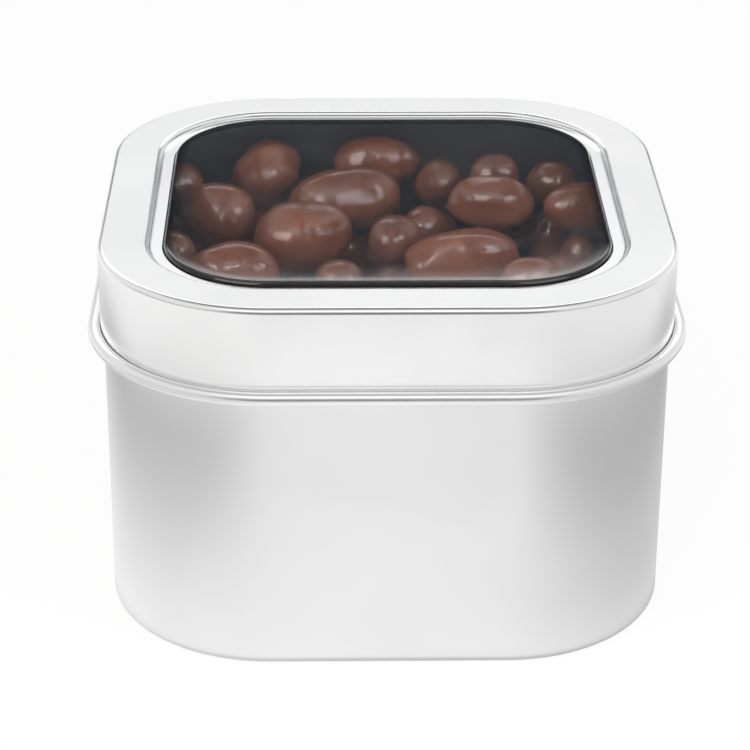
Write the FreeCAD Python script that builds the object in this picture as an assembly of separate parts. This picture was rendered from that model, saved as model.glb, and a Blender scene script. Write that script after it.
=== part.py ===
import FreeCAD
import Part
import math
import os
from FreeCAD import Vector

# Window lid tin: a seamless drawn body, a slip-on lid with a clear raised pane, and coated nuts inside.
# Millimetres, +Z up, origin on the table under the middle of the base. The side seen in front faces -Y.

# Outside of the tin
lid_width = 105.0          # across the lid's skirt, flat side to flat side
corner_radius = 31.0       # of the lid's skirt, seen from above
tin_height = 71.5          # table to the lid's flat top
sheet = 0.3                # tinplate of the body, the lid and the retainer
slip_clearance = 0.3       # between the lid's skirt and the body, all round
base_edge_radius = 1.6     # outside bend between the base and the wall
base_margin = 3.2          # flat of the base that is carried round with the wall

# Lid
lid_height = 17.8          # flat top to the underside of the curl
lid_edge_radius = 1.0      # outside bend between the flat top and the skirt
lid_curl_diameter = 2.6    # bead rolled outwards at the foot of the skirt
window_border = 11.6       # outside of the skirt in to the edge of the window's hole
ledge_width = 1.9          # flat ledge round the hole
ledge_drop = 1.1           # flat top down to the ledge
ledge_step_run = 1.3       # sideways run of the rounded step between them

# Clear pane, formed from sheet with its middle standing up through the hole
pane_sheet = 0.3
pane_clearance = 0.35      # between the raised middle and the edge of the hole
pane_below_top = 0.1       # raised middle below the lid's flat top
pane_inside_bend = 0.15    # inside bends between its border, its wall and its raised middle
pane_inset = 5.35          # edge of its border behind the outside of the lid's skirt

# Retainer, a ring of sheet that presses the pane's border up against the ledge
retainer_setback = 0.7     # inner edge of the ring behind the edge of the hole
retainer_clearance = 0.05  # between the ring's turned-up rim and the skirt
retainer_inside_bend = 0.15    # inside bend of the turned-up rim
retainer_rim = 0.15        # straight height of the rim above its bend

# Body's rim
rim_curl_diameter = 1.8    # bead rolled inwards along the top of the wall
lid_rest_gap = 0.3         # left between the rim and the retainer above it
curl_tuck_gap = 0.15       # between the sheet's end and the wall that a bead closes on

# Coated nuts
nut_gap = 0.3              # left between two neighbours, and between a nut and the tin
nuts_below_rim = 0.9       # underside of the body's rim down to the top of the nuts
almond_length = 22.0
almond_thickness = 14.0
peanut_length = 17.0
peanut_thickness = 11.5
raisin_length = 11.5
raisin_thickness = 9.5
loose_below = 9.0          # nuts that fill the gaps lie this far below the top ones
smallest_wedge = 6.0       # shortest nut that stands under a top one
largest_wedge = 30.0       # longest one
wedge_stretch = 1.15       # least length over thickness of such a nut
spot_count = 60            # places looked at for each nut that is let down on the heap
low_spot_count = 4         # lowest of those, where its resting height is worked out
direction_count = 36       # directions in which a nut is held off the wall
narrowing_count = 12       # times a search between two limits is narrowed

# Top nuts: kind, place to the right and to the back as shares of the inside half width, how far the nut
# lies below the highest ones, length, thickness, turn about the vertical, and tilt of the long axis
top_nuts = [
    ("peanut", 0.41, 0.39, 0.0, 18.0, 11.0, -4, 0),
    ("almond", -0.14, 0.50, 0.0, 25.0, 13.5, 14, 4),
    ("almond", -0.31, 0.16, 0.0, 21.0, 15.0, 10, 6),
    ("almond", 0.28, -0.12, 0.0, 24.0, 13.0, 14, 0),
    ("peanut", -0.63, 0.33, 0.0, 16.5, 13.0, -30, 8),
    ("peanut", -0.45, 0.77, 0.0, 15.5, 13.0, 50, 20),
    ("peanut", -0.01, 0.81, 0.0, 18.5, 11.0, -8, 0),
    ("raisin", 0.04, 0.02, 0.5, 11.5, 9.5, 40, 0),
    ("raisin", 0.44, 0.62, 0.0, 10.0, 9.0, 0, 0),
    ("peanut", 0.75, 0.33, 0.0, 16.0, 10.5, 20, -6),
    ("raisin", 0.66, 0.56, 0.5, 10.5, 9.5, -20, 0),
    ("peanut", -0.55, -0.24, 0.0, 18.0, 12.0, -6, 0),
    ("raisin", -0.17, -0.40, 0.0, 9.5, 9.0, 0, 0),
    ("peanut", 0.52, -0.36, 0.0, 13.5, 10.5, 10, 0),
    ("raisin", -0.79, 0.58, 1.0, 10.5, 9.5, 30, 0),
    ("raisin", -0.79, -0.08, 1.0, 11.0, 9.5, -40, 0),
    ("raisin", 0.22, 0.62, 1.5, 10.0, 9.0, 60, 0),
    ("raisin", 0.15, 0.27, 4.0, 9.5, 8.5, 70, 0),
    ("peanut", -0.74, -0.52, 1.0, 17.0, 12.0, 50, 0),
    ("almond", -0.36, -0.70, 0.5, 22.0, 13.5, -12, 4),
    ("peanut", 0.06, -0.72, 0.0, 16.0, 12.0, 30, 6),
    ("almond", 0.44, -0.70, 1.0, 20.0, 14.0, 8, -4),
    ("raisin", 0.78, -0.56, 1.0, 12.0, 10.0, -30, 0),
]

# Half widths from the middle of the tin, and heights from the table
lid_half = lid_width / 2
corner_centre = lid_half - corner_radius
body_half = lid_half - sheet - slip_clearance
inner_half = body_half - sheet
window_half = lid_half - window_border
ledge_middle = tin_height - ledge_drop - sheet / 2
lid_foot = tin_height - lid_height
pane_half = window_half - pane_clearance
pane_border_top = tin_height - ledge_drop - sheet
pane_top = tin_height - pane_below_top
pane_underside = pane_top - pane_sheet
retainer_top = pane_border_top - pane_sheet
rim_top = retainer_top - sheet - lid_rest_gap
nuts_top = rim_top - rim_curl_diameter - nuts_below_rim
golden = (math.sqrt(5) - 1) / 2    # share of a turn between one nut and the next
plastic = 1.32471795724475         # root of x cubed = x + 1, whose powers spread places evenly over a square


def sheet_section(start, heading, thickness, moves):
    # Cut face of a bent sheet in the XZ plane, walked along its middle line: a move is a straight length,
    # or a bend as (middle radius, degrees to the left).
    x, z = start
    angle = math.radians(heading)
    half = thickness / 2
    left = []
    right = []

    def beside(px, pz, direction, offset):
        return Vector(px - offset * math.sin(direction), 0, pz + offset * math.cos(direction))

    for move in moves:
        if isinstance(move, tuple):
            radius, turn = move[0], math.radians(move[1])
            side = math.copysign(radius, turn)
            centre_x = x - side * math.sin(angle)
            centre_z = z + side * math.cos(angle)
            stops = [angle, angle + turn / 2, angle + turn]
            walk = [(centre_x + side * math.sin(a), centre_z - side * math.cos(a), a) for a in stops]
            for edges, offset in ((left, half), (right, -half)):
                edges.append(Part.Arc(*[beside(px, pz, a, offset) for px, pz, a in walk]).toShape())
        else:
            end = (x + move * math.cos(angle), z + move * math.sin(angle), angle)
            walk = [(x, z, angle), end]
            for edges, offset in ((left, half), (right, -half)):
                edges.append(Part.LineSegment(*[beside(px, pz, a, offset) for px, pz, a in walk]).toShape())
        x, z, angle = walk[-1]
    caps = []
    for index in (0, -1):
        ends = [edges[index].Vertexes[index].Point for edges in (left, right)]
        caps.append(Part.LineSegment(*ends).toShape())
    return Part.Face(Part.Wire(Part.__sortEdges__(left + right + caps)))


def carried_round(section):
    # A section carried round the rounded square: straight along each side, turned about each corner's centre.
    straight = section.translated(Vector(0, -corner_centre, 0)).extrude(Vector(0, 2 * corner_centre, 0))
    corner_start = section.translated(Vector(0, corner_centre, 0))
    corner = corner_start.revolve(Vector(corner_centre, corner_centre, 0), Vector(0, 0, 1), 90)
    pieces = []
    for quarter in range(4):
        for piece in (straight, corner):
            pieces.append(piece.rotated(Vector(0, 0, 0), Vector(0, 0, 1), 90 * quarter))
    return pieces


def rounded_plate(half, bottom, thickness):
    # Flat plate with the tin's rounded corners, half its width from the middle to each side.
    reach = corner_centre
    radius = half - reach
    bow = radius * math.sqrt(0.5)
    outline = []
    for quarter in range(4):
        side = [Vector(half, -reach, bottom), Vector(half, reach, bottom)]
        bend = [side[1], Vector(reach + bow, reach + bow, bottom), Vector(reach, half, bottom)]
        for edge in (Part.LineSegment(*side).toShape(), Part.Arc(*bend).toShape()):
            outline.append(edge.rotated(Vector(0, 0, 0), Vector(0, 0, 1), 90 * quarter))
    return Part.Face(Part.Wire(Part.__sortEdges__(outline))).extrude(Vector(0, 0, thickness))


def joined(pieces):
    return pieces[0].multiFuse(pieces[1:]).removeSplitter()


def bead_turn(middle_radius, thickness):
    # Degrees a sheet rolls until its end comes close to the wall that it is rolled from.
    room = middle_radius - thickness / 2 - curl_tuck_gap
    return 360 - math.degrees(math.acos(room / (middle_radius + thickness / 2)))


def make_tin_body():
    bend = base_edge_radius - sheet / 2
    bead = (rim_curl_diameter - sheet) / 2
    base_start = body_half - base_edge_radius - base_margin
    wall_middle = body_half - sheet / 2
    bead_centre = rim_top - rim_curl_diameter / 2
    roll = bead_turn(bead, sheet) / 2
    moves = [wall_middle - bend - base_start, (bend, 90)]
    moves += [bead_centre - sheet / 2 - bend, (bead, roll), (bead, roll)]
    section = sheet_section((base_start, sheet / 2), 0, sheet, moves)
    return joined(carried_round(section) + [rounded_plate(base_start, 0, sheet)])


def make_lid_shell():
    step_angle = 2 * math.degrees(math.atan(ledge_drop / ledge_step_run))
    step_radius = ledge_step_run / (2 * math.sin(math.radians(step_angle)))
    edge = lid_edge_radius - sheet / 2
    bead = (lid_curl_diameter - sheet) / 2
    roll = bead_turn(bead, sheet) / 2
    bead_centre = lid_foot + lid_curl_diameter / 2
    flat_start = window_half + ledge_width + ledge_step_run
    flat_top = lid_half - sheet / 2 - edge - flat_start
    skirt = tin_height - sheet / 2 - edge - bead_centre
    moves = [ledge_width, (step_radius, step_angle), (step_radius, -step_angle)]
    moves += [flat_top, (edge, -90), skirt, (bead, roll), (bead, roll)]
    return joined(carried_round(sheet_section((window_half, ledge_middle), 0, sheet, moves)))


def make_window_pane():
    bend = pane_inside_bend + pane_sheet / 2
    outer_edge = lid_half - pane_inset
    wall_middle = pane_half - pane_sheet / 2
    border_middle = pane_border_top - pane_sheet / 2
    upright = pane_top - pane_border_top - 2 * bend
    moves = [outer_edge - wall_middle - bend, (bend, -90), upright, (bend, 90)]
    section = sheet_section((outer_edge, border_middle), 180, pane_sheet, moves)
    panel = rounded_plate(wall_middle - bend, pane_underside, pane_sheet)
    return joined(carried_round(section) + [panel])


def make_window_retainer():
    bend = retainer_inside_bend + sheet / 2
    inner_edge = window_half + retainer_setback
    rim_middle = lid_half - sheet - retainer_clearance - sheet / 2
    moves = [rim_middle - bend - inner_edge, (bend, 90), retainer_rim]
    return joined(carried_round(sheet_section((inner_edge, retainer_top - sheet / 2), 0, sheet, moves)))


class Nut:
    # An egg-shaped nut: two equal short axes and one long one, pointing along axis.
    def __init__(self, kind, length, thickness, turn, tilt):
        self.kind = kind
        self.long = length / 2
        self.short = thickness / 2
        self.turn = turn
        self.tilt = tilt
        level = math.cos(math.radians(tilt))
        turned = math.radians(turn)
        self.axis = (level * math.cos(turned), level * math.sin(turned), math.sin(math.radians(tilt)))
        self.place = (0.0, 0.0, 0.0)

    def reach(self, direction):
        # How far the nut stands out from its middle along a unit direction.
        along = sum(a * d for a, d in zip(self.axis, direction))
        return math.sqrt(self.short ** 2 + (self.long ** 2 - self.short ** 2) * along ** 2)

    def height(self):
        return self.reach((0, 0, 1))

    def moved(self, x, y, z):
        self.place = (x, y, z)
        return self

    def inside_wall(self):
        # The wall's distance from the middle along a direction is that of its rounded square.
        x, y = self.place[:2]
        for step in range(direction_count):
            angle = 2 * math.pi * step / direction_count
            way = (math.cos(angle), math.sin(angle), 0)
            wall = corner_centre * (abs(way[0]) + abs(way[1])) + inner_half - corner_centre
            if x * way[0] + y * way[1] + self.reach(way) > wall - nut_gap:
                return False
        return True

    def solid(self):
        ellipse = Part.Ellipse(Vector(0, 0, 0), self.long, self.short)
        outline = Part.ArcOfEllipse(ellipse, 0, math.pi).toShape()
        middle = Part.LineSegment(Vector(-self.long, 0, 0), Vector(self.long, 0, 0)).toShape()
        shape = Part.Face(Part.Wire([outline, middle])).revolve(Vector(0, 0, 0), Vector(1, 0, 0), 360)
        shape.rotate(Vector(0, 0, 0), Vector(0, 1, 0), -self.tilt)
        shape.rotate(Vector(0, 0, 0), Vector(0, 0, 1), self.turn)
        shape.translate(Vector(*self.place))
        return shape.Solids[0]


def apart(first, second):
    # Two egg shapes are apart if, for some share between them, the weighted distance passes 1.
    offset = [b - a for a, b in zip(first.place, second.place)]
    long_a, short_a = (first.long + nut_gap / 2) ** 2, (first.short + nut_gap / 2) ** 2
    long_b, short_b = (second.long + nut_gap / 2) ** 2, (second.short + nut_gap / 2) ** 2
    square = sum(d * d for d in offset)
    if square > (math.sqrt(long_a) + math.sqrt(long_b)) ** 2:
        return True
    if square < (math.sqrt(short_a) + math.sqrt(short_b)) ** 2:
        return False
    on_a = sum(d * u for d, u in zip(offset, first.axis))
    on_b = sum(d * v for d, v in zip(offset, second.axis))
    cross = sum(u * v for u, v in zip(first.axis, second.axis))
    low, high = 0.0, 1.0

    def weighted(share):
        round_part = (1 - share) * short_a + share * short_b
        extra_a = (1 - share) * (long_a - short_a)
        extra_b = share * (long_b - short_b)
        whole = (round_part + extra_a) * (round_part + extra_b) - extra_a * extra_b * cross * cross
        along_a = (on_a * (round_part + extra_b) - extra_b * cross * on_b) / whole
        along_b = (on_b * (round_part + extra_a) - extra_a * cross * on_a) / whole
        left_over = square - extra_a * along_a * on_a - extra_b * along_b * on_b
        return share * (1 - share) * left_over / round_part

    for _ in range(narrowing_count):
        lower = low + (1 - golden) * (high - low)
        upper = low + golden * (high - low)
        at_lower, at_upper = weighted(lower), weighted(upper)
        if max(at_lower, at_upper) >= 1:
            return True
        if at_lower < at_upper:
            low = lower
        else:
            high = upper
    return False


def near(nut, others):
    # The others that a nut could touch on its way straight down.
    close = []
    for other in others:
        across = math.hypot(other.place[0] - nut.place[0], other.place[1] - nut.place[1])
        if across < other.long + nut.long + nut_gap:
            close.append(other)
    return close


def lowered(nut, x, y, others):
    # A nut let down at x, y until it meets the base or one of the others.
    rest = sheet + nut_gap + nut.height()
    nut.moved(x, y, rest)
    for other in near(nut, others):
        level = other.place[2]
        if apart(nut.moved(x, y, level), other):
            continue
        low = max(level, rest)
        high = level + other.long + nut.long + nut_gap
        if high <= low or apart(nut.moved(x, y, low), other):
            continue
        for _ in range(narrowing_count):
            middle = (low + high) / 2
            if apart(nut.moved(x, y, middle), other):
                high = middle
            else:
                low = middle
        rest = high
    return nut.moved(x, y, rest)


def clear_of(nut, others):
    return all(apart(nut, other) for other in near(nut, others))


def rough_rest(x, y, size, others):
    # Resting height with every nut taken as a ball, to find the low places of the heap quickly.
    rest = size
    for other in others:
        across = (other.place[0] - x) ** 2 + (other.place[1] - y) ** 2
        together = size + (2 * other.short + other.long) / 3
        if across < together ** 2:
            rest = max(rest, other.place[2] + math.sqrt(together ** 2 - across))
    return rest


def poured(kinds, heap, limit):
    # Nuts let down one by one where the heap is lowest, until none of the kinds stays under the limit.
    sizes = {
        "almond": (almond_length, almond_thickness),
        "peanut": (peanut_length, peanut_thickness),
        "raisin": (raisin_length, raisin_thickness),
    }
    added = []
    misses = 0
    number = 0
    while misses < len(kinds):
        kind = kinds[number % len(kinds)]
        nut = Nut(kind, *sizes[kind], 360 * ((number * golden) % 1), 0)
        number += 1
        size = (2 * nut.short + nut.long) / 3
        spots = []
        for trial in range(number * spot_count, (number + 1) * spot_count):
            x = inner_half * (2 * ((trial / plastic) % 1) - 1)
            y = inner_half * (2 * ((trial / plastic ** 2) % 1) - 1)
            if nut.moved(x, y, 0).inside_wall():
                spots.append((rough_rest(x, y, size, heap + added), x, y))
        drops = [lowered(nut, x, y, heap + added).place for _, x, y in sorted(spots)[:low_spot_count]]
        nut.moved(*min(drops, key=lambda place: place[2]))
        if nut.place[2] + nut.height() < limit:
            added.append(nut)
            misses = 0
        else:
            misses += 1
    return heap + added


def shown_nuts():
    shown = []
    for kind, right, back, sunk, length, thickness, turn, tilt in top_nuts:
        nut = Nut(kind, length, thickness, turn, tilt)
        nut.moved(right * inner_half, back * inner_half, nuts_top - sunk - nut.height())
        if nut.inside_wall() and clear_of(nut, shown):
            shown.append(nut)
    return shown


def wedge_under(nut, shown, heap):
    # An upright nut between the heap and a top nut, as long as fits, so that the top one rests on it.
    x, y = nut.place[:2]
    small, large = smallest_wedge, largest_wedge
    best = []
    for _ in range(narrowing_count):
        length = (small + large) / 2
        thickness = min(raisin_thickness, length / wedge_stretch)
        kind = "raisin" if length < peanut_thickness else "peanut" if length < peanut_length else "almond"
        wedge = lowered(Nut(kind, length, thickness, nut.turn, 90), x, y, heap)
        if wedge.inside_wall() and clear_of(wedge, shown):
            best = [wedge]
            small = length
        else:
            large = length
    return best


def heaped_nuts():
    shown = shown_nuts()
    lowest = min(nut.place[2] - nut.height() for nut in shown)
    heap = poured(["almond", "peanut", "almond"], [], lowest - smallest_wedge - 2 * nut_gap)
    for nut in shown:
        heap += wedge_under(nut, shown, heap)
    return poured(["peanut", "raisin"], heap + shown, nuts_top - loose_below)


def of_kind(nuts, kind):
    return Part.makeCompound([nut.solid() for nut in nuts if nut.kind == kind])


os.makedirs("parts", exist_ok=True)
nuts = heaped_nuts()
nodes = {
    "tin_body": make_tin_body(),
    "lid_shell": make_lid_shell(),
    "window_pane": make_window_pane(),
    "window_retainer": make_window_retainer(),
    "coated_almonds": of_kind(nuts, "almond"),
    "coated_peanuts": of_kind(nuts, "peanut"),
    "coated_raisins": of_kind(nuts, "raisin"),
}
for name, shape in nodes.items():
    shape.exportStep("parts/" + name + ".step")
    print(name, len(shape.Solids), "solids, valid", shape.isValid(), "volume", round(shape.Volume, 1))
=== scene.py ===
import math

import bpy
import numpy as np
from mathutils import Matrix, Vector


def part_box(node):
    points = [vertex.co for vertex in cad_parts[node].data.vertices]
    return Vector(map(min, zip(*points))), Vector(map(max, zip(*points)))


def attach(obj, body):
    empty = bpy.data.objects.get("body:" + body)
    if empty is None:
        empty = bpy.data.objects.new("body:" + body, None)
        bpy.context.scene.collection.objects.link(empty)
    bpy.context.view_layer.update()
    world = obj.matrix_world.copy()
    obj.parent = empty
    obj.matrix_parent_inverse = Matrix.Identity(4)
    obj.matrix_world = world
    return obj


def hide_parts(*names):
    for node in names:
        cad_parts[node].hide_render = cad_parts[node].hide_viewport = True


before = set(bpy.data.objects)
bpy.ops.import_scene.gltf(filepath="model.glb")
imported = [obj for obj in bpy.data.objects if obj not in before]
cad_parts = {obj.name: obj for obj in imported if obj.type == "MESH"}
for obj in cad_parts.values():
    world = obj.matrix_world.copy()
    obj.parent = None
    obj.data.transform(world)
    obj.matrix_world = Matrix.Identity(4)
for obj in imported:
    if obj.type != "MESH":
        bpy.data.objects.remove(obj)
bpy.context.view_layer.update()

mm = 0.001
print("frame loaded:", ", ".join(sorted(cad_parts)))


# Shapes

def roundedPath(cornerCentre, sideSteps, cornerSteps):
    # Rounded square: foot walks the square through the corner centres, lean is the outward direction,
    # which stays put along a side and turns a quarter about each corner centre.
    side = np.linspace(-1, 1, sideSteps, endpoint=False) * cornerCentre
    turn = np.linspace(0, math.pi / 2, cornerSteps, endpoint=False)
    foot = np.vstack([np.column_stack([np.full(sideSteps, cornerCentre), side]),
                      np.full((cornerSteps, 2), cornerCentre)])
    lean = np.vstack([np.tile([1.0, 0.0], (sideSteps, 1)), np.column_stack([np.cos(turn), np.sin(turn)])])
    quarters = [np.linalg.matrix_power(np.array([[0, 1], [-1, 0]]), count) for count in range(4)]
    return np.vstack([foot @ q for q in quarters]), np.vstack([lean @ q for q in quarters])


def walkSheet(start, heading, moves, degreesPerStep=9, leastSteps=4, margin=0.06):
    # Middle line of a bent sheet: a number is a straight run, a pair is a bend (radius, degrees to the left).
    # A straight run has a point close to each of its ends, so that its shading stays flat.
    spot, angle = np.array(start, float), math.radians(heading)
    spots, angles = [spot[None]], [np.array([angle])]
    for move in moves:
        if isinstance(move, tuple):
            turn = math.radians(move[1])
            side = math.copysign(move[0], turn)
            steps = max(leastSteps, math.ceil(abs(move[1]) / degreesPerStep))
            swing = angle + turn * np.linspace(0, 1, steps + 1)[1:]
            run = side * np.column_stack([np.sin(swing) - math.sin(angle), math.cos(angle) - np.cos(swing)])
        else:
            inset = min(margin, move / 3)
            reach = np.array([inset, move / 2, move - inset, move])
            swing = np.full(len(reach), angle)
            run = reach[:, None] * np.array([math.cos(angle), math.sin(angle)])
        spots.append(spot + run)
        angles.append(swing)
        spot, angle = spots[-1][-1], swing[-1]
    return np.concatenate(spots), np.concatenate(angles)


def roundEnd(spot, facing, half):
    # Half a circle round the end of a sheet, less its first and last points, which the sheet's sides have.
    swing = facing + np.radians([60, 30, 0, -30, -60])
    return spot + half * np.column_stack([np.cos(swing), np.sin(swing)])


def sheetSection(start, heading, thickness, moves, fromMiddle=False):
    # The middle line set off by half the thickness to both sides, with a rounded end.
    # A ring has both ends rounded, and a plate starts at the middle of the tin, where both sides close.
    middle, angle = walkSheet(start, heading, moves)
    half = thickness / 2
    off = half * np.column_stack([-np.sin(angle), np.cos(angle)])
    loop = [middle + off, roundEnd(middle[-1], angle[-1], half), (middle - off)[::-1]]
    if not fromMiddle:
        loop.append(roundEnd(middle[0], angle[0] + math.pi, half))
    return np.concatenate(loop) * mm


def carried(path, section, flatHalf):
    # point(s, t) = (foot(s) + lean(s) * (max(x, f) - c)) * min(x / f, 1), at the section's own height z:
    # past f, half the width of the flat middle, the outline grows evenly, and inside it shrinks to a point.
    foot, lean = path
    grown = np.maximum(section[:, 0], flatHalf) - foot.max()
    shrunk = np.minimum(section[:, 0] / flatHalf, 1)
    flat = (foot[:, None] + lean[:, None] * grown[None, :, None]) * shrunk[None, :, None]
    height = np.broadcast_to(section[:, 1], flat.shape[:2])
    return np.dstack([flat, height])


def ringFaces(rows, columns):
    # Quads between neighbouring points, closed both ways.
    index = np.arange(rows * columns).reshape(rows, columns)
    ahead, beside = np.roll(index, -1, 0), np.roll(index, -1, 1)
    return np.stack([index, ahead, np.roll(ahead, -1, 1), beside], -1).reshape(-1, 4)


def capFaces(rows, columns):
    # Quads closed along the rows only, and triangles to the first and the last column, a single point each.
    inner = 1 + np.arange(rows * (columns - 2)).reshape(rows, columns - 2)
    ahead = np.roll(inner, -1, 0)
    quads = np.stack([inner[:, :-1], ahead[:, :-1], ahead[:, 1:], inner[:, 1:]], -1).reshape(-1, 4)
    last = np.full(rows, 1 + inner.size)
    first = np.stack([np.zeros(rows, int), ahead[:, 0], inner[:, 0]], -1)
    return quads, np.vstack([first, np.stack([inner[:, -1], ahead[:, -1], last], -1)])


def addObject(name, data):
    thing = bpy.data.objects.new(name, data)
    bpy.context.scene.collection.objects.link(thing)
    return thing


def makePiece(name, points, quads, triangles=np.zeros((0, 3), int)):
    # The faces point outwards where the volume that they enclose comes out positive.
    fans = np.vstack([quads[:, :3], quads[:, [0, 2, 3]], triangles])
    a, b, c = (points[fans[:, k]] for k in range(3))
    if np.einsum("ij,ij->i", a, np.cross(b, c)).sum() < 0:
        quads, triangles = quads[:, ::-1], triangles[:, ::-1]
    mesh = bpy.data.meshes.new(name)
    mesh.from_pydata(points.tolist(), [], quads.tolist() + triangles.tolist())
    mesh.shade_smooth()
    return addObject(name, mesh)


def ringPiece(name, path, section):
    grid = carried(path, section, section[:, 0].min())
    return makePiece(name, grid.reshape(-1, 3), ringFaces(*grid.shape[:2]))


def platePiece(name, path, section, flatHalf):
    grid = carried(path, section, flatHalf * mm)
    points = np.vstack([grid[:1, 0], grid[:, 1:-1].reshape(-1, 3), grid[:1, -1]])
    return makePiece(name, points, *capFaces(*grid.shape[:2]))


def pointsOf(mesh):
    points = np.empty(3 * len(mesh.vertices), np.float32)
    mesh.vertices.foreach_get("co", points)
    return points.reshape(-1, 3).astype(float)


def reachOf(mesh):
    # How far each point lies from the middle, in millimetres: the half width of the outline through it.
    past = np.maximum(np.abs(pointsOf(mesh)[:, :2]) / mm - tinOutline["cornerCentre"], 0)
    return np.hypot(past[:, 0], past[:, 1]) + tinOutline["cornerCentre"]


def mark(piece, name, values):
    # A number for each point, which the piece's material reads by this name.
    attribute = piece.data.attributes.new(name, "FLOAT", "POINT")
    attribute.data.foreach_set("value", np.asarray(values, np.float32))


def beadTurn(radius, sheet, gap):
    # Degrees that a sheet rolls until its end comes close to the wall it is rolled from.
    return 360 - math.degrees(math.acos((radius - sheet / 2 - gap) / (radius + sheet / 2)))


def settle(piece, body, node, material):
    piece.data.materials.append(material)
    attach(piece, body)
    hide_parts(node)
    print(piece.name, "has", len(piece.data.vertices), "points")


# Shader nodes

def feed(tree, node, feeds):
    # A feed is a socket to link or a plain value.
    for name, value in feeds.items():
        if isinstance(value, bpy.types.NodeSocket):
            tree.links.new(value, node.inputs[name])
        else:
            node.inputs[name].default_value = value
    return node


def step(tree, kind, feeds={}, **settings):
    node = tree.nodes.new(kind)
    for name, value in settings.items():
        setattr(node, name, value)
    return feed(tree, node, feeds)


def sums(tree, operation, *values):
    return step(tree, "ShaderNodeMath", dict(enumerate(values)), operation=operation).outputs[0]


def added(tree, start, *shares):
    # start + value * weight, for each pair of a value and its weight
    for value, weight in shares:
        start = sums(tree, "MULTIPLY_ADD", value, weight, start)
    return start


def between(tree, value, low, high, first=0.0, last=1.0, curve="LINEAR"):
    # Runs from first, where the value is low, to last, where it is high. Map Range has its sockets in this order.
    feeds = dict(enumerate((value, low, high, first, last)))
    return step(tree, "ShaderNodeMapRange", feeds, interpolation_type=curve).outputs[0]


def mixTone(tree, factor, first, second):
    # Inputs 6 and 7 of a Mix node are its colours, and output 2 is the mixed one.
    return step(tree, "ShaderNodeMix", {0: factor, 6: first, 7: second}, data_type="RGBA").outputs[2]


def shaded(tree, tone, factor):
    return step(tree, "ShaderNodeVectorMath", {0: tone, 1: factor}, operation="MULTIPLY").outputs[0]


def ramp(tree, value, stops):
    # stops: (place, grey level or colour)
    node = step(tree, "ShaderNodeValToRGB", {0: value})
    line = node.color_ramp
    while len(line.elements) < len(stops):
        line.elements.new(0.5)
    for element, (place, tone) in zip(line.elements, stops):
        element.position = place
        element.color = (*tone, 1) if isinstance(tone, tuple) else (tone, tone, tone, 1)
    return node.outputs[0]


def noise(tree, place, scale, detail, distortion=0.0):
    feeds = {"Vector": place, "Scale": scale, "Detail": detail, "Distortion": distortion}
    return step(tree, "ShaderNodeTexNoise", feeds).outputs[0]


def ownPlace(tree):
    return step(tree, "ShaderNodeTexCoord").outputs["Object"]  # in metres


def marked(tree, name):
    return step(tree, "ShaderNodeAttribute", attribute_name=name).outputs["Fac"]


def newGroup(name, inputs, outputs):
    tree = bpy.data.node_groups.new(name, "ShaderNodeTree")
    for socket, value in inputs.items():
        kind = "NodeSocketColor" if isinstance(value, tuple) else "NodeSocketFloat"
        tree.interface.new_socket(socket, in_out="INPUT", socket_type=kind).default_value = value
    for socket, kind in outputs.items():
        tree.interface.new_socket(socket, in_out="OUTPUT", socket_type="NodeSocket" + kind)
    return tree, tree.nodes.new("NodeGroupInput").outputs, tree.nodes.new("NodeGroupOutput")


def newMaterial(name):
    material = bpy.data.materials.new(name)
    material.use_nodes = True
    tree = material.node_tree
    return material, tree, tree.nodes["Principled BSDF"]


satinLook = {"streakStretch": (1.0, 1.0, 0.02), "streak": {"scale": 600.0, "detail": 1.0},
             "mark": {"scale": 38.0, "detail": 2.0, "distortion": 0.6}, "markFrom": 0.38, "markTo": 0.68,
             "insideDull": 0.2, "markDull": 0.05, "streakDull": 0.12, "grainDull": 0.03,
             "markShade": -0.025, "streakShade": 0.05}


def satinGroup(t):
    # Satin tinplate: fine rolling grain, faint draw streaks up the walls, and broad soft handling marks,
    # all in its colour and dullness. It is duller where the points are marked as rubbed. Where they are
    # marked as inside it is duller, and a darker grey that is painted shade inside the tin.
    tree, given, out = newGroup(
        "satinTinplate",
        {"Tone": (0.8, 0.8, 0.8, 1), "Inside Shade Tone": (0.3, 0.3, 0.3, 1), "Roughness": 0.3,
         "Grain Size": 0.0006, "Streaks": 0.5, "Marks": 0.5, "Rub": 0.0},
        {"Color": "Color", "Roughness": "Float"})
    place = ownPlace(tree)
    inside, rubbed = marked(tree, "inside"), marked(tree, "rubbed")
    grain = noise(tree, place, sums(tree, "DIVIDE", 1.0, given["Grain Size"]), detail=1.0)
    grain = sums(tree, "SUBTRACT", grain, 0.5)
    drawn = step(tree, "ShaderNodeMapping", {"Vector": place, "Scale": t["streakStretch"]}).outputs[0]
    streak = sums(tree, "SUBTRACT", noise(tree, drawn, **t["streak"]), 0.5)
    streak = sums(tree, "MULTIPLY", streak, given["Streaks"])
    marks = ramp(tree, noise(tree, place, **t["mark"]), [(t["markFrom"], 0.0), (t["markTo"], 1.0)])
    marks = sums(tree, "MULTIPLY", marks, given["Marks"])
    shade = added(tree, 1.0, (marks, t["markShade"]), (streak, t["streakShade"]))
    dull = added(tree, given["Roughness"], (rubbed, given["Rub"]), (inside, t["insideDull"]),
                 (marks, t["markDull"]), (streak, t["streakDull"]), (grain, t["grainDull"]))
    # Painted shade: points marked as inside take the darker Inside Shade Tone.
    plain = mixTone(tree, inside, given["Tone"], given["Inside Shade Tone"])
    feed(tree, out, {"Color": shaded(tree, plain, shade), "Roughness": dull})
    return tree


glazeLook = {"cloud": {"detail": 4.0, "distortion": 0.4}, "pale": (0.32, 0.68), "cloudDull": 0.12,
             "pitsCloser": 2.6, "pits": {"detail": 2.0}, "pitHeight": 0.6,
             "patchesCloser": 1.5, "patches": {"detail": 2.0, "distortion": 0.5}, "glossy": (0.42, 0.5),
             "dullGloss": 0.15}


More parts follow.
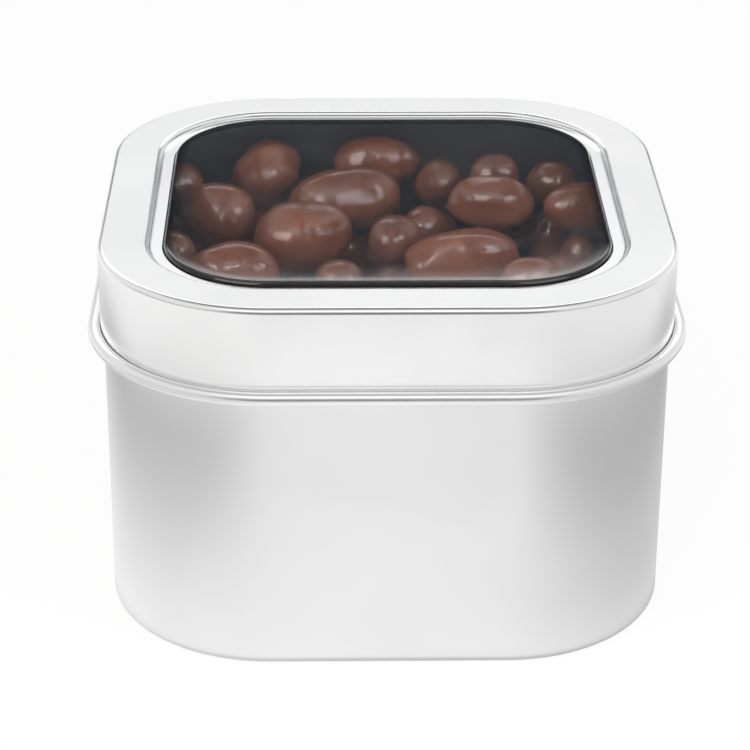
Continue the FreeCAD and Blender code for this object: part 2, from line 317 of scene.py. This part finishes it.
def glazeGroup(t):
    # Glazed chocolate: cloudy brown, paler on the high spots, with soft pits, and a gloss broken by dull patches.
    tree, given, out = newGroup(
        "chocolateGlaze",
        {"Tone": (0.2, 0.08, 0.04, 1), "Deep Tone": (0.1, 0.03, 0.02, 1), "Cloud Size": 0.008,
         "Roughness": 0.3},
        {"Color": "Color", "Roughness": "Float", "Height": "Float", "Gloss": "Float"})
    place = ownPlace(tree)
    close = sums(tree, "DIVIDE", 1.0, given["Cloud Size"])
    cloud = noise(tree, place, close, **t["cloud"])
    pits = noise(tree, place, sums(tree, "MULTIPLY", close, t["pitsCloser"]), **t["pits"])
    patches = noise(tree, place, sums(tree, "MULTIPLY", close, t["patchesCloser"]), **t["patches"])
    brown = mixTone(tree, between(tree, cloud, *t["pale"]), given["Deep Tone"], given["Tone"])
    feed(tree, out, {"Color": shaded(tree, brown, marked(tree, "nutShade")),
                     "Roughness": added(tree, given["Roughness"], (cloud, t["cloudDull"])),
                     "Height": added(tree, cloud, (pits, t["pitHeight"])),
                     "Gloss": between(tree, patches, *t["glossy"], t["dullGloss"], 1.0)})
    return tree


def metalFinish(name, group, values):
    material, tree, shader = newMaterial(name)
    looks = step(tree, "ShaderNodeGroup", values, node_tree=group).outputs
    feed(tree, shader, {"Base Color": looks["Color"], "Roughness": looks["Roughness"], "Metallic": 1.0})
    return material


print("shape and shader helpers ready")

tinOutline = {"cornerCentre": 21.5, "sideSteps": 12, "cornerSteps": 24}
outline = roundedPath(tinOutline["cornerCentre"] * mm, tinOutline["sideSteps"], tinOutline["cornerSteps"])
satin = satinGroup(satinLook)
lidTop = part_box("lid_shell")[1].z / mm
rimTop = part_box("tin_body")[1].z / mm


# Tin body: base, small bend, wall, and a bead rolled inwards along the top

# The finish's Inside Shade Tone is painted shade, which makes the inside of the tin a darker grey.
tinBody = {"half": 51.9, "sheet": 0.3, "baseEdge": 1.6, "bead": 1.8, "tuck": 0.15,
           "finish": {"Tone": (0.88, 0.88, 0.884, 1), "Inside Shade Tone": (0.36, 0.37, 0.4, 1), "Roughness": 0.205,
                      "Grain Size": 0.0007, "Streaks": 0.25, "Marks": 0.8}}


def makeTinBody(t):
    sheet, wall = t["sheet"], t["half"] - t["sheet"] / 2
    bend, bead = t["baseEdge"] - sheet / 2, (t["bead"] - sheet) / 2
    moves = [wall - bend, (bend, 90), rimTop - t["bead"] / 2 - sheet / 2 - bend,
             (bead, beadTurn(bead, sheet, t["tuck"]))]
    section = sheetSection((0, sheet / 2), 0, sheet, moves, fromMiddle=True)
    piece = platePiece("tinBody", outline, section, moves[0])
    # A point is inside where it is nearer than the sheet's middle line to the centre of the base bend.
    past = np.maximum(reachOf(piece.data) - wall + bend, 0)
    below = np.maximum(sheet / 2 + bend - pointsOf(piece.data)[:, 2] / mm, 0)
    mark(piece, "inside", np.hypot(past, below) < bend)
    return piece


bodySteel = metalFinish("bodySteel", satin, tinBody["finish"])
settle(makeTinBody(tinBody), "tin", "tin_body", bodySteel)


# Lid: ledge round the window, rounded step, flat top, skirt, and a bead rolled outwards

lidShell = {"half": 52.5, "sheet": 0.3, "height": 17.8, "edge": 1.0, "bead": 2.6, "tuck": 0.15,
            "windowHalf": 40.9, "ledge": 1.9, "drop": 1.1, "stepRun": 1.3,
            "finish": {"Tone": (0.965, 0.965, 0.965, 1), "Roughness": 0.21, "Grain Size": 0.0006,
                       "Streaks": 0.2, "Marks": 0.6, "Rub": 0.29},
            "rubbedTop": 1.0, "rubbedBead": 0.36, "rubbedLedge": 0.4, "topWithin": 0.005, "beadPast": 0.02}


def makeLidShell(t):
    sheet, edge = t["sheet"], t["edge"] - t["sheet"] / 2
    slope = 2 * math.degrees(math.atan(t["drop"] / t["stepRun"]))
    ease = t["stepRun"] / (2 * math.sin(math.radians(slope)))
    bead = (t["bead"] - sheet) / 2
    flatStart = t["windowHalf"] + t["ledge"] + t["stepRun"]
    skirtFoot = lidTop - t["height"] + t["bead"] / 2
    moves = [t["ledge"], (ease, slope), (ease, -slope), t["half"] - sheet / 2 - edge - flatStart,
             (edge, -90), lidTop - sheet / 2 - edge - skirtFoot, (bead, beadTurn(bead, sheet, t["tuck"]))]
    start = (t["windowHalf"], lidTop - t["drop"] - sheet / 2)
    piece = ringPiece("lidShell", outline, sheetSection(start, 0, sheet, moves))
    height, reach = pointsOf(piece.data)[:, 2] / mm, reachOf(piece.data)
    onBead = (reach > t["half"] + t["beadPast"]) | (height < skirtFoot)
    rubbed = np.where(height > lidTop - t["topWithin"], t["rubbedTop"], 0.0)
    rubbed = np.where(onBead, t["rubbedBead"], rubbed)
    rubbed = np.where(reach < flatStart - t["stepRun"], t["rubbedLedge"], rubbed)
    mark(piece, "rubbed", rubbed)
    return piece


lidSteel = metalFinish("lidSteel", satin, lidShell["finish"])
settle(makeLidShell(lidShell), "lid", "lid_shell", lidSteel)


# Retainer ring under the pane

windowRetainer = {"innerHalf": 41.6, "outerHalf": 52.15, "sheet": 0.3, "bend": 0.3, "rim": 0.15,
                  "finish": {"Tone": (0.72, 0.72, 0.73, 1), "Roughness": 0.36, "Grain Size": 0.0008,
                             "Streaks": 0.3, "Marks": 1.0}}


def makeWindowRetainer(t):
    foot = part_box("window_retainer")[0].z / mm
    moves = [t["outerHalf"] - t["sheet"] / 2 - t["bend"] - t["innerHalf"], (t["bend"], 90), t["rim"]]
    return ringPiece("windowRetainer", outline,
                     sheetSection((t["innerHalf"], foot + t["sheet"] / 2), 0, t["sheet"], moves))


retainerSteel = metalFinish("retainerSteel", satin, windowRetainer["finish"])
settle(makeWindowRetainer(windowRetainer), "lid", "window_retainer", retainerSteel)


# Clear pane: its middle stands up through the window, eased down a little along its edge

windowPane = {"half": 40.55, "outerHalf": 47.15, "sheet": 0.3, "edgeBend": 0.6, "footBend": 0.2,
              "easeWidth": 7.0, "easeTurn": 1.2, "darkFrom": 3.0, "darkTo": 0.25,
              "tone": (0.96, 0.97, 0.98, 1), "edgeShadeTone": (0.02, 0.02, 0.025, 1), "roughness": 0.03, "ior": 1.5,
              "smear": {"scale": 60.0, "detail": 3.0, "distortion": 1.2}, "smearFrom": 0.35, "smearTo": 0.75,
              "smearDull": 0.05}


def makeWindowPane(t):
    lowest, highest = (corner.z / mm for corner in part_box("window_pane"))
    sheet, bend, foot = t["sheet"], t["edgeBend"], t["footBend"]
    wall = t["half"] - sheet / 2
    slope = math.radians(t["easeTurn"])
    easeRadius = t["easeWidth"] / math.sin(slope)
    bendRun = bend * (1 - math.sin(slope))
    upright = highest - lowest - sheet - easeRadius * (1 - math.cos(slope)) - bend * math.cos(slope) - foot
    moves = [wall - bendRun - t["easeWidth"], (easeRadius, -t["easeTurn"]), (bend, t["easeTurn"] - 90), upright,
             (foot, 90), t["outerHalf"] - wall - foot]
    section = sheetSection((0, highest - sheet / 2), 0, sheet, moves, fromMiddle=True)
    piece = platePiece("windowPane", outline, section, moves[0])
    past = reachOf(piece.data) - t["half"]
    # Painted shade: a mask that darkens the pane towards its upright edge and is full on the edge and flange.
    mark(piece, "paneEdgeShade", np.interp(past, [-t["darkFrom"], -t["darkTo"]], [0, 1]) ** 2)
    return piece


def paneFinish(t):
    # Clear sheet, which lets lamps through to what lies behind it, with faint smears in its gloss.
    # It also has painted shade: it is tinted darker over the last 3 mm before its upright edge, and dark on that
    # edge and the flange beyond.
    material, tree, shader = newMaterial("clearPane")
    smear = noise(tree, ownPlace(tree), **t["smear"])
    smear = ramp(tree, smear, [(t["smearFrom"], 0.0), (t["smearTo"], 1.0)])
    feed(tree, shader, {"Base Color": mixTone(tree, marked(tree, "paneEdgeShade"), t["tone"], t["edgeShadeTone"]),
                        "Roughness": added(tree, t["roughness"], (smear, t["smearDull"])),
                        "IOR": t["ior"], "Transmission Weight": 1.0})
    clear = step(tree, "ShaderNodeBsdfTransparent")
    fromLamp = step(tree, "ShaderNodeLightPath").outputs["Is Shadow Ray"]
    seen = step(tree, "ShaderNodeMixShader", {0: fromLamp, 1: shader.outputs[0], 2: clear.outputs[0]})
    tree.links.new(seen.outputs[0], tree.nodes["Material Output"].inputs["Surface"])
    return material


settle(makeWindowPane(windowPane), "lid", "window_pane", paneFinish(windowPane))


# Coated nuts: each is found in the frame, and made lumpy inside the shape it has there

nutKinds = {
    "coatedAlmonds": {"node": "coated_almonds", "dents": 0.14, "waves": 2.0, "taper": 0.12, "seed": 3,
                      "glaze": {"Tone": (0.216, 0.075, 0.039, 1), "Deep Tone": (0.14, 0.047, 0.025, 1),
                                "Cloud Size": 0.007, "Roughness": 0.48}},
    "coatedPeanuts": {"node": "coated_peanuts", "dents": 0.14, "waves": 2.0, "taper": 0.08, "seed": 11,
                      "glaze": {"Tone": (0.204, 0.07, 0.037, 1), "Deep Tone": (0.13, 0.043, 0.023, 1),
                                "Cloud Size": 0.006, "Roughness": 0.48}},
    "coatedRaisins": {"node": "coated_raisins", "dents": 0.08, "waves": 2.0, "taper": 0.05, "seed": 23,
                      "glaze": {"Tone": (0.163, 0.059, 0.032, 1), "Deep Tone": (0.1, 0.035, 0.02, 1),
                                "Cloud Size": 0.005, "Roughness": 0.5}},
}
nutGrid = {"along": 34, "around": 46, "waveCount": 6, "finer": 0.3, "rippleHeight": 0.6, "dentMiddle": 0.45,
           "fullness": 2.25, "shades": (0.8, 1.1), "specular": 0.05, "coatIor": 1.8, "coatRoughness": 0.06,
           "bloom": (0.3, 0.75), "edgeShine": 0.2, "bumpStrength": 0.55, "bumpDepth": 0.0006}


def nutPlaces(node, bits=20):
    # Triangles that share points are one nut. Its axes are those along which its points spread most and least.
    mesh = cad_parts[node].data
    points = pointsOf(mesh)
    corners = np.empty(len(mesh.loops), np.int32)
    mesh.loops.foreach_get("vertex_index", corners)
    micron = np.round(points * 1e6).astype(np.int64) + 2 ** (bits - 1)  # above 0, and within so many bits
    merged = np.unique(micron @ np.array([2 ** (2 * bits), 2 ** bits, 1]), return_inverse=True)[1]
    faces = merged[corners].reshape(-1, 3)
    label, before = np.arange(merged.max() + 1), None
    while before is None or (label != before).any():
        before = label.copy()
        np.minimum.at(label, faces.ravel(), np.repeat(before[faces].min(1), 3))
        label = label[label]
    nut = np.unique(label[merged], return_inverse=True)[1]
    count = np.bincount(nut)
    centre = np.stack([np.bincount(nut, points[:, k]) for k in range(3)], -1) / count[:, None]
    off = points - centre[nut]
    spread = np.stack([np.bincount(nut, off[:, i] * off[:, j]) for i in range(3) for j in range(3)], -1)
    axes = np.linalg.eigh(spread.reshape(-1, 3, 3))[1].transpose(0, 2, 1)[:, ::-1].copy()
    axes[:, 2] = np.cross(axes[:, 0], axes[:, 1])
    along = np.einsum("nk,nik->ni", off, axes[nut])
    low, high = np.zeros_like(centre), np.zeros_like(centre)
    np.minimum.at(low, nut, along)
    np.maximum.at(high, nut, along)
    return centre + np.einsum("ni,nik->nk", (low + high) / 2, axes), axes, (high - low) / 2


def makeNuts(name, kind):
    # point = centre + sum over the axes of half size * share * direction, where direction runs over a ball,
    # made a little fuller (sum of |d| ** fullness = 1), and share is 1 less a dent: a sum of sine waves
    # across the direction, finer ones lower, different for each nut. Towards one end the nut narrows a little.
    centre, axes, half = nutPlaces(kind["node"])
    chance = np.random.default_rng(kind["seed"])
    count, along, around = len(centre), nutGrid["along"], nutGrid["around"]
    polar = np.linspace(0, math.pi, along)[None, :]
    turn = np.linspace(0, 2 * math.pi, around, endpoint=False)[:, None]
    ball = np.stack(np.broadcast_arrays(np.cos(polar), np.sin(polar) * np.cos(turn),
                                        np.sin(polar) * np.sin(turn)), -1)
    fineness = 1 + nutGrid["finer"] * np.arange(nutGrid["waveCount"])
    waves = chance.normal(0, kind["waves"], (count, nutGrid["waveCount"], 3)) * fineness[:, None]
    phase = chance.uniform(0, 2 * math.pi, (count, nutGrid["waveCount"]))
    heights = nutGrid["rippleHeight"] / fineness ** 2
    ripple = np.sin(np.einsum("abk,nwk->nabw", ball, waves) + phase[:, None, None]) @ heights
    middle = nutGrid["dentMiddle"]
    share = 1 - kind["dents"] * np.clip(middle - middle * ripple, 0, 1)
    pointed = np.where(chance.random(count) < 0.5, -1, 1)
    narrow = 1 - kind["taper"] * (0.5 + 0.5 * ball[None, ..., 0] * pointed[:, None, None]) ** 2
    full = ball / (np.abs(ball) ** nutGrid["fullness"]).sum(-1, keepdims=True) ** (1 / nutGrid["fullness"])
    local = full[None] * half[:, None, None] * share[..., None]
    local[..., 1:] *= narrow[..., None]
    grid = centre[:, None, None] + np.einsum("nabi,nik->nabk", local, axes)
    points = np.concatenate([grid[:, :1, 0], grid[:, :, 1:-1].reshape(count, -1, 3), grid[:, :1, -1]], 1)
    quads, triangles = capFaces(around, along)
    first = np.arange(count)[:, None, None] * points.shape[1]
    piece = makePiece(name, points.reshape(-1, 3), (quads[None] + first).reshape(-1, 4),
                      (triangles[None] + first).reshape(-1, 3))
    mark(piece, "nutShade", np.repeat(chance.uniform(*nutGrid["shades"], count), points.shape[1]))
    return piece


def glazeFinish(name, group, values, t):
    material, tree, shader = newMaterial(name)
    looks = step(tree, "ShaderNodeGroup", values, node_tree=group).outputs
    # The glaze has a dusty bloom, so that it shines least where it is looked along.
    facing = step(tree, "ShaderNodeLayerWeight").outputs["Facing"]
    shine = between(tree, facing, *t["bloom"], 1.0, t["edgeShine"])
    bump = step(tree, "ShaderNodeBump", {"Height": looks["Height"], "Strength": t["bumpStrength"],
                                         "Distance": t["bumpDepth"]})
    feed(tree, shader, {"Base Color": looks["Color"], "Roughness": looks["Roughness"],
                        "Specular IOR Level": t["specular"], "Coat IOR": t["coatIor"],
                        "Coat Roughness": t["coatRoughness"],
                        "Coat Weight": sums(tree, "MULTIPLY", shine, looks["Gloss"]),
                        "Normal": bump.outputs[0]})
    return material


glaze = glazeGroup(glazeLook)
for name, kind in nutKinds.items():
    coat = glazeFinish(name + "Glaze", glaze, kind["glaze"], nutGrid)
    settle(makeNuts(name, kind), "tin", kind["node"], coat)


# Floor, world and lamps

studio = {"floorHalf": 4.0, "shown": 0.9, "floorTone": 0.82, "white": (1.0, 1.0, 1.0, 1),
          "reach": 0.4, "middle": 0.004, "strip": (0.0, 0.11), "behind": (0.06, 0.16),
          "ahead": [(0, 0.58), (2.5, 1.0), (55, 0.96), (105, 0.91), (130, 0.98), (155, 0.98), (185, 0.7),
                    (240, 0.2), (320, 0.05)],
          "left": [(0, 1.0), (3, 1.0), (12, 0.93), (36, 0.77), (80, 0.49), (100, 0.45), (113, 0.92),
                   (185, 1.0), (320, 0.5), (400, 0.3)],
          "right": [(0, 0.38), (3, 0.42), (14, 0.42), (34, 0.52), (85, 0.44), (100, 0.45), (125, 0.92),
                    (185, 0.82), (320, 0.5), (400, 0.4)]}


def makeFloor(t):
    # A plain white sheet. In the metal it is white straight ahead and behind, and greyer to both sides
    # and far off: three ramps by the distance in millimetres from the foot of the wall. The ramps also hold
    # painted shade: darker right at the foot of the wall ahead, and a dip from 80 to 100 mm off to the sides,
    # which the metal shows as shade at the base of the body and on its wall below the lid.
    edge = t["floorHalf"]
    mesh = bpy.data.meshes.new("floor")
    mesh.from_pydata([(-edge, -edge, 0), (edge, -edge, 0), (edge, edge, 0), (-edge, edge, 0)], [], [(0, 1, 2, 3)])
    floor = addObject("floor", mesh)
    material, tree, shader = newMaterial("floorPaper")
    tree.nodes.remove(shader)
    apart = step(tree, "ShaderNodeSeparateXYZ", {0: ownPlace(tree)}).outputs
    corner = tinOutline["cornerCentre"] * mm
    past = [sums(tree, "MAXIMUM", sums(tree, "SUBTRACT", sums(tree, "ABSOLUTE", apart[k]), corner), 0.0)
            for k in range(2)]
    past = step(tree, "ShaderNodeCombineXYZ", {0: past[0], 1: past[1]}).outputs[0]
    away = step(tree, "ShaderNodeVectorMath", {0: past}, operation="LENGTH").outputs["Value"]
    away = sums(tree, "SUBTRACT", away, tinBody["half"] * mm - corner)
    away = sums(tree, "DIVIDE", away, t["reach"])
    # Painted shade in the ramps: dark right at the foot of the wall ahead, and a dip from 80 to 100 mm off to the
    # sides.
    ahead, left, right = (ramp(tree, away, [(gap * mm / t["reach"], level) for gap, level in t[side]])
                          for side in ("ahead", "left", "right"))
    across = sums(tree, "SUBTRACT", apart[0], t["middle"])
    aside = between(tree, sums(tree, "ABSOLUTE", across), *t["strip"], curve="SMOOTHSTEP")
    sides = mixTone(tree, sums(tree, "GREATER_THAN", across, 0.0), left, right)
    inMetal = mixTone(tree, aside, ahead, sides)
    inMetal = mixTone(tree, between(tree, apart[1], *t["behind"]), inMetal, t["white"])
    path = step(tree, "ShaderNodeLightPath").outputs
    glow = mixTone(tree, path["Is Camera Ray"], inMetal, t["white"])
    looked = sums(tree, "MAXIMUM", path["Is Camera Ray"],
                  sums(tree, "MAXIMUM", path["Is Glossy Ray"], path["Is Transmission Ray"]))
    paper = step(tree, "ShaderNodeBsdfDiffuse", {"Color": (t["floorTone"],) * 3 + (1,)})
    white = step(tree, "ShaderNodeEmission", {"Color": glow, "Strength": 1.0})
    mixed = step(tree, "ShaderNodeMixShader", {0: sums(tree, "MULTIPLY", looked, t["shown"]),
                                               1: paper.outputs[0], 2: white.outputs[0]})
    tree.links.new(mixed.outputs[0], tree.nodes["Material Output"].inputs["Surface"])
    mesh.materials.append(material)


skyTones = {"dark": (0.075, 0.085, 0.1), "sides": (0.78, 0.78, 0.78, 1), "sidesFrom": 0.3, "sidesTo": 0.6,
            "bow": 13, "white": (1.0, 1.0, 1.0, 1)}
skyTones["levels"] = [(-3, 0.06), (5, 0.08), (12, 0.25), (22, 0.4), (32, 0.75), (42, 1.3), (58, 1.3), (70, 0.6),
                      (88, 0.35), (100, 0.24), (110, 0.17), (126, 0.17), (134, 0.9), (140, 2.5), (148.5, 2.5),
                      (154.8, skyTones["dark"]), (167, skyTones["dark"]), (174, 1.1), (180, 1.1)]


def makeWorld(t):
    # Round the X axis: 0 is the horizon in front, 90 overhead, 180 the horizon behind. The bands bow
    # towards the sides, and far to both sides they give way to plain grey.
    world = bpy.data.worlds.new("studio")
    bpy.context.scene.world = world
    world.use_nodes = True
    tree = world.node_tree
    around = step(tree, "ShaderNodeTexCoord").outputs["Generated"]
    way = step(tree, "ShaderNodeSeparateXYZ", {0: around}).outputs
    across = sums(tree, "ABSOLUTE", way[0])
    angle = sums(tree, "ARCTAN2", way[2], sums(tree, "MULTIPLY", way[1], -1.0))
    angle = added(tree, angle, (across, -math.radians(t["bow"])))
    share = added(tree, 0.5, (angle, 0.5 / math.pi))  # of a whole turn, from -180 degrees
    tone = ramp(tree, share, [((degrees + 180) / 360, level) for degrees, level in t["levels"]])
    aside = between(tree, across, t["sidesFrom"], t["sidesTo"], curve="SMOOTHSTEP")
    tone = mixTone(tree, aside, tone, t["sides"])
    seen = step(tree, "ShaderNodeLightPath").outputs["Is Camera Ray"]
    feed(tree, tree.nodes["Background"], {"Color": mixTone(tree, seen, tone, t["white"]), "Strength": 1.0})


softboxes = {
    "keyLeft": {"azimuth": -36, "elevation": 21, "distance": 0.62, "wide": 0.5, "tall": 0.6, "power": 3.4,
                "tone": (1.0, 0.93, 0.85)},
    "fillRight": {"azimuth": 40, "elevation": 20, "distance": 0.62, "wide": 0.56, "tall": 0.6, "power": 2.9,
                  "tone": (0.92, 0.94, 1.0)},
}


def makeSoftbox(name, t, shinesOn):
    # The boxes light the nuts, the pane over them and the floor. The metal shows the floor and the sky only.
    lamp = bpy.data.lights.new(name, "AREA")
    lamp.shape = "RECTANGLE"
    lamp.energy, lamp.size, lamp.size_y, lamp.color = t["power"], t["wide"], t["tall"], t["tone"]
    turn, lift = math.radians(t["azimuth"]), math.radians(t["elevation"])
    back = np.array([math.sin(turn) * math.cos(lift), -math.cos(turn) * math.cos(lift), math.sin(lift)])
    side = np.array([math.cos(turn), math.sin(turn), 0])
    turned = np.eye(4)
    turned[:3, 0], turned[:3, 1], turned[:3, 2] = side, np.cross(back, side), back
    turned[:3, 3] = back * t["distance"] + np.array([0, 0, lidTop * mm])
    box = addObject(name, lamp)
    box.matrix_world = Matrix(turned.tolist())
    box.light_linking.receiver_collection = shinesOn


makeFloor(studio)
makeWorld(skyTones)
softlyLit = bpy.data.collections.new("softlyLit")
for name in (*nutKinds, "windowPane", "floor"):
    softlyLit.objects.link(bpy.data.objects[name])
for name, box in softboxes.items():
    makeSoftbox(name, box, softlyLit)
print("studio ready")


# Camera: turned about Z, tipped down, then rolled

photoCamera = {"pixels": 750, "focal": 2609.26, "yaw": 1.191, "pitch": 26.129, "roll": 0.331,
               "offset": (1.574, 29.937, 522.863), "sensor": 36.0, "nearest": 0.01, "farthest": 50.0}


def aboutZ(angle):
    return np.array([[math.cos(angle), -math.sin(angle), 0], [math.sin(angle), math.cos(angle), 0], [0, 0, 1]])


def makeCamera(t):
    # Rows of the turn are the picture's right, down and forward directions.
    yaw, pitch, roll = (math.radians(t[key]) for key in ("yaw", "pitch", "roll"))
    tip = np.array([[1, 0, 0], [0, -math.sin(pitch), -math.cos(pitch)], [0, math.cos(pitch), -math.sin(pitch)]])
    turn = aboutZ(roll) @ tip @ aboutZ(yaw)
    pose = np.eye(4)
    pose[:3, 0], pose[:3, 1], pose[:3, 2] = turn[0], -turn[1], -turn[2]
    pose[:3, 3] = -turn.T @ np.array(t["offset"]) * mm
    lens = bpy.data.cameras.new("photoCamera")
    lens.sensor_width = t["sensor"]
    lens.lens = t["focal"] * t["sensor"] / t["pixels"]
    lens.clip_start, lens.clip_end = t["nearest"], t["farthest"]
    camera = addObject("photoCamera", lens)
    camera.matrix_world = Matrix(pose.tolist())
    bpy.context.scene.camera = camera


makeCamera(photoCamera)
bpy.context.scene.view_settings.view_transform = "Standard"
print("camera ready")
